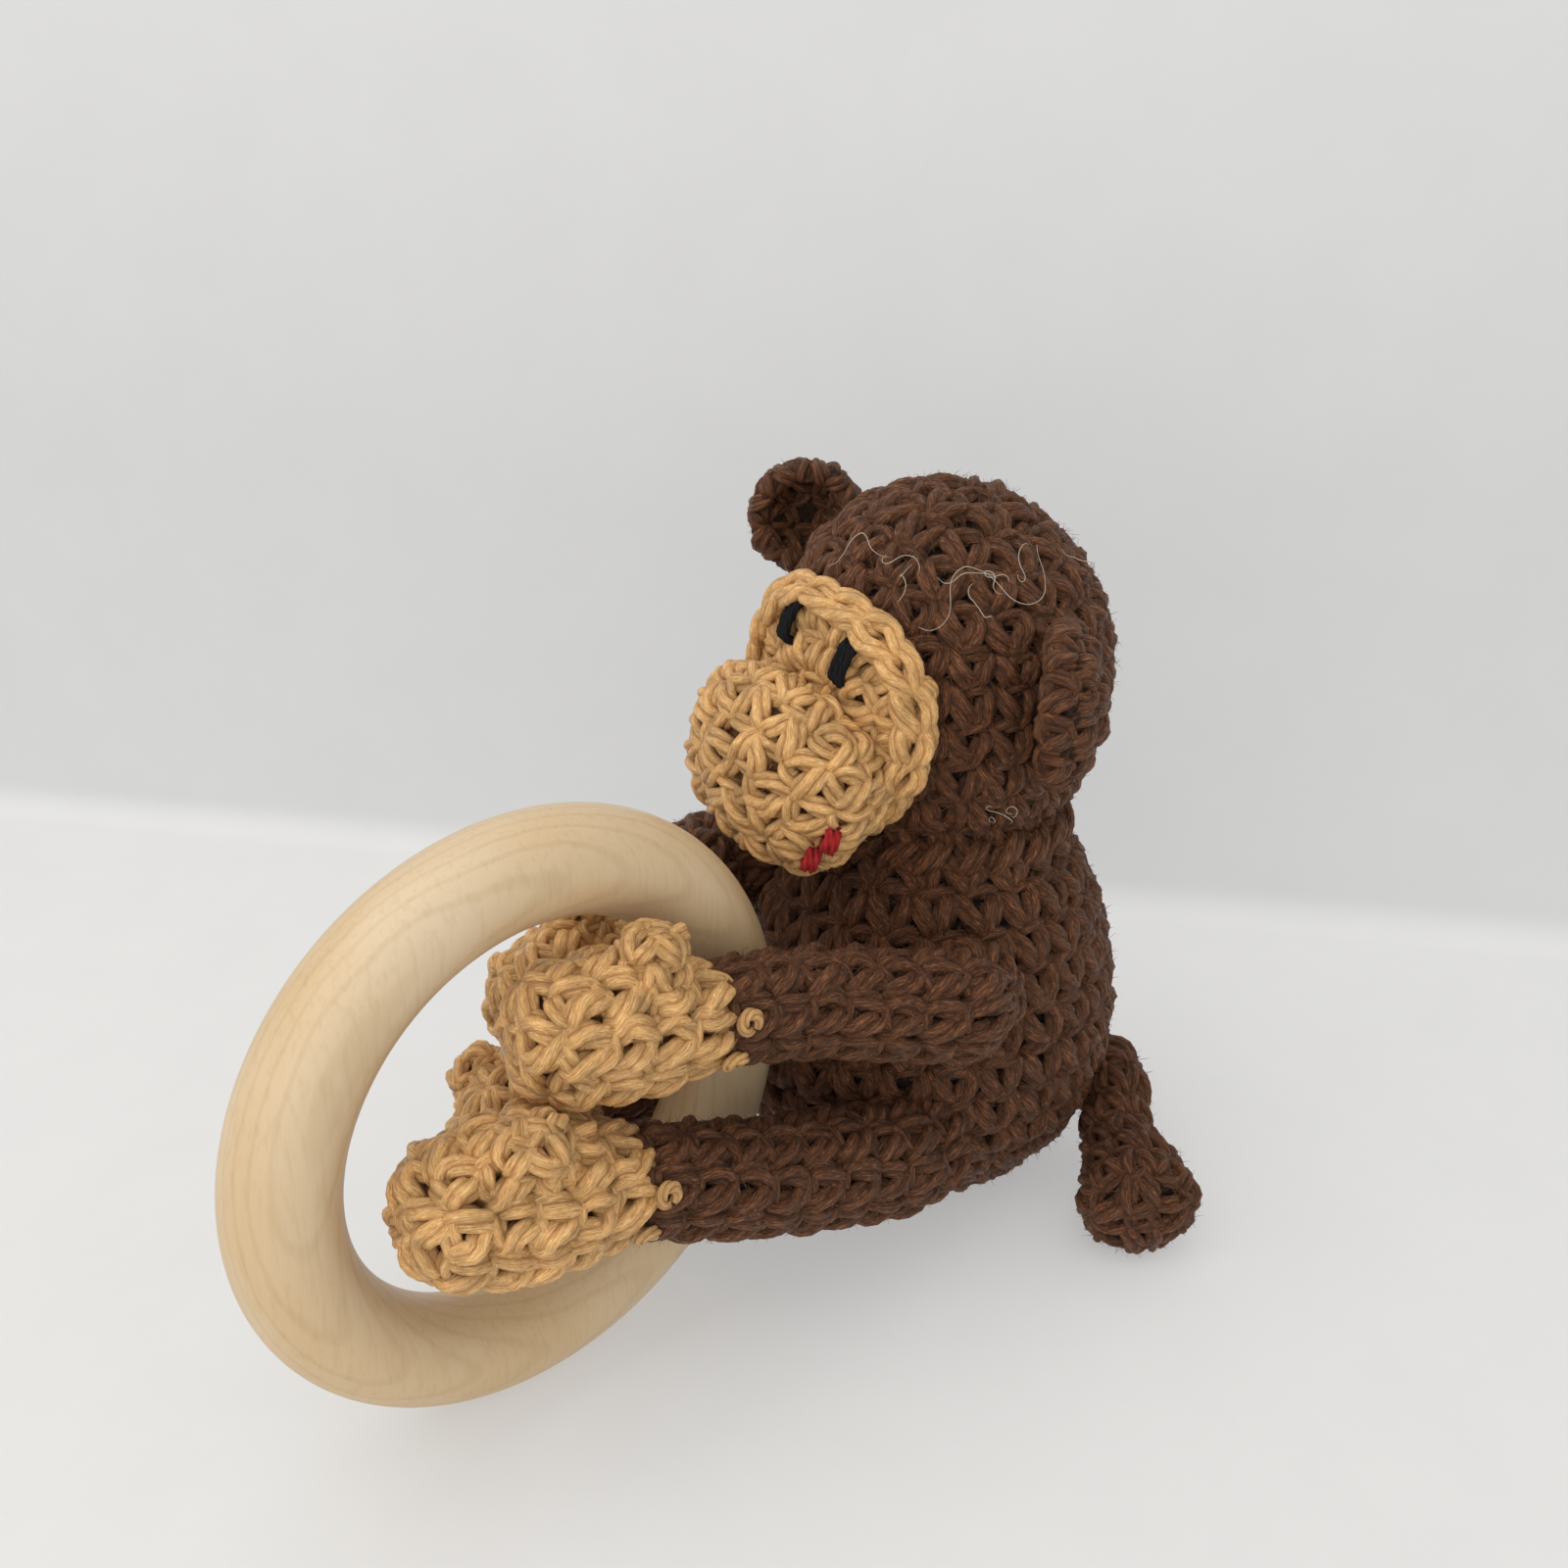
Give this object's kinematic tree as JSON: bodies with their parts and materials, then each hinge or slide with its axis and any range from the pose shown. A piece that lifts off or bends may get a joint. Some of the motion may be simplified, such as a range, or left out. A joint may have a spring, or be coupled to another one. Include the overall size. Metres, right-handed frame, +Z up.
{
  "type": "baby rattle",
  "caption": "Crocheted sitting monkey with a stuffed body and a rattle inside, hugging a turned wooden teething ring with its hands and feet.",
  "frame": {"origin": "centre of the overall box, on the floor the toy sits on", "axes": "+Z up, -Y the way the monkey faces, +X the monkey's left side"},
  "size_m": [0.0693, 0.1252, 0.0946],
  "materials": {
    "brown_yarn": "fuzzy dark brown worsted yarn in single crochet",
    "tan_yarn": "smooth tan worsted yarn in single crochet",
    "black_thread": "black yarn, embroidered",
    "red_thread": "red yarn, embroidered",
    "maple_wood": "sanded and oiled pale maple",
    "white_fibre": "loose polyester fibre filling",
    "clear_plastic": "smooth moulded plastic",
    "bead_plastic": "smooth plastic beads"
  },
  "bodies": {
    "toy_body": {"body_skin": "brown_yarn", "left_arm": "brown_yarn", "right_arm": "brown_yarn", "left_leg": "brown_yarn", "right_leg": "brown_yarn", "left_hand": "tan_yarn", "right_hand": "tan_yarn", "left_foot": "tan_yarn", "right_foot": "tan_yarn", "left_thumb": "tan_yarn", "right_thumb": "tan_yarn", "left_big_toe": "tan_yarn", "right_big_toe": "tan_yarn", "body_stuffing_lower": "white_fibre", "body_stuffing_upper": "white_fibre", "left_arm_stuffing": "white_fibre", "right_arm_stuffing": "white_fibre", "left_leg_stuffing": "white_fibre", "right_leg_stuffing": "white_fibre", "rattle_capsule_lower": "clear_plastic", "rattle_capsule_upper": "clear_plastic"},
    "head": {"head_skin": "brown_yarn", "head_stuffing": "white_fibre", "face_patch": "tan_yarn", "muzzle": "tan_yarn", "muzzle_stuffing": "white_fibre", "left_eye": "black_thread", "right_eye": "black_thread", "mouth_stitch_upper": "red_thread", "mouth_stitch_lower": "red_thread", "left_ear": "brown_yarn", "right_ear": "brown_yarn"},
    "ring": {"wooden_ring": "maple_wood"},
    "tail": {"tail": "brown_yarn", "tail_stuffing": "white_fibre"},
    "rattle_bead_1": {"rattle_bead_1": "bead_plastic"},
    "rattle_bead_2": {"rattle_bead_2": "bead_plastic"},
    "rattle_bead_3": {"rattle_bead_3": "bead_plastic"},
    "rattle_bead_4": {"rattle_bead_4": "bead_plastic"},
    "rattle_bead_5": {"rattle_bead_5": "bead_plastic"},
    "rattle_bead_6": {"rattle_bead_6": "bead_plastic"}
  },
  "joints": [
    {"name": "ring_turn", "type": "hinge", "parent": "toy_body", "child": "ring", "pos_m": [-0.00737, -0.02755, 0.03498], "axis": [0.9993, 0, -0.037], "continuous": true},
    {"name": "head_turn", "type": "hinge", "parent": "toy_body", "child": "head", "pos_m": [-0.00677, 0.03805, 0.0534], "axis": [0, 0, 1], "range_deg": [-12, 12], "stiffness_Nm_per_rad": 0.01},
    {"name": "tail_lift", "type": "hinge", "parent": "toy_body", "child": "tail", "pos_m": [0.00952, 0.05355, 0.01321], "axis": [-0.8987, -0.3795, 0.2197], "range_deg": [0, 22], "stiffness_Nm_per_rad": 0.004},
    {"name": "bead_1_slide", "type": "slide", "parent": "toy_body", "child": "rattle_bead_1", "axis": [0, 0, 1], "range_m": [0, 0.012]},
    {"name": "bead_2_slide", "type": "slide", "parent": "toy_body", "child": "rattle_bead_2", "axis": [0, 0, 1], "range_m": [0, 0.01]},
    {"name": "bead_3_slide", "type": "slide", "parent": "toy_body", "child": "rattle_bead_3", "axis": [0, 0, 1], "range_m": [0, 0.01]},
    {"name": "bead_4_slide", "type": "slide", "parent": "toy_body", "child": "rattle_bead_4", "axis": [0, 0, 1], "range_m": [0, 0.01]},
    {"name": "bead_5_slide", "type": "slide", "parent": "toy_body", "child": "rattle_bead_5", "axis": [0, 0, 1], "range_m": [0, 0.01]},
    {"name": "bead_6_slide", "type": "slide", "parent": "toy_body", "child": "rattle_bead_6", "axis": [0, 0, 1], "range_m": [0, 0.01]}
  ]
}
